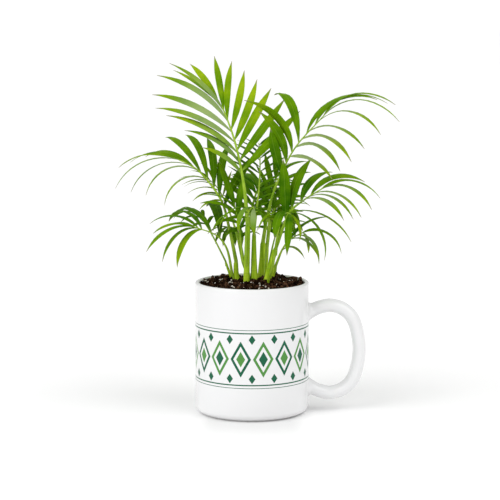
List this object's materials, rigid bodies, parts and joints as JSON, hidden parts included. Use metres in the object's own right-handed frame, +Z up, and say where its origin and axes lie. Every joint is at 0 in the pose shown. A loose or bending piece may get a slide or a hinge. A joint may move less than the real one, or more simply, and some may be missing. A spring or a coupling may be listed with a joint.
{
  "type": "potted areca palm",
  "caption": "Young areca palm with slim canes and arching feathery fronds, growing in potting soil in a straight glazed mug with a side handle; stands on its foot ring.",
  "frame": {"origin": "on the resting plane at the mug's axis, which is the bottom centre of the whole object's box within 2 mm", "axes": "+Z up along the mug's axis, +X towards the mug's handle, -Y the front that the plant is seen from"},
  "size_m": [0.199, 0.1441, 0.2546],
  "materials": {
    "glaze": "gloss",
    "soil": "matte",
    "cane": "satin",
    "leaf": "satin"
  },
  "bodies": {
    "root": {"mug": "glaze", "potting_soil": "soil", "cane_1": "cane", "cane_2": "cane", "cane_3": "cane", "cane_4": "cane", "cane_5": "cane", "cane_6": "cane", "cane_7": "cane", "cane_8": "cane", "cane_9": "cane", "frond_upper_left": "leaf", "frond_mid_left": "leaf", "frond_low_left": "leaf", "frond_upper_right": "leaf", "frond_mid_right": "leaf", "frond_low_right": "leaf", "frond_centre": "leaf", "frond_back": "leaf", "frond_back_left": "leaf", "frond_back_right": "leaf", "frond_inner_left": "leaf", "frond_inner_right": "leaf", "frond_front_left": "leaf", "frond_front_right": "leaf", "frond_far_left": "leaf", "frond_far_right": "leaf", "frond_low_back": "leaf"}
  },
  "joints": []
}
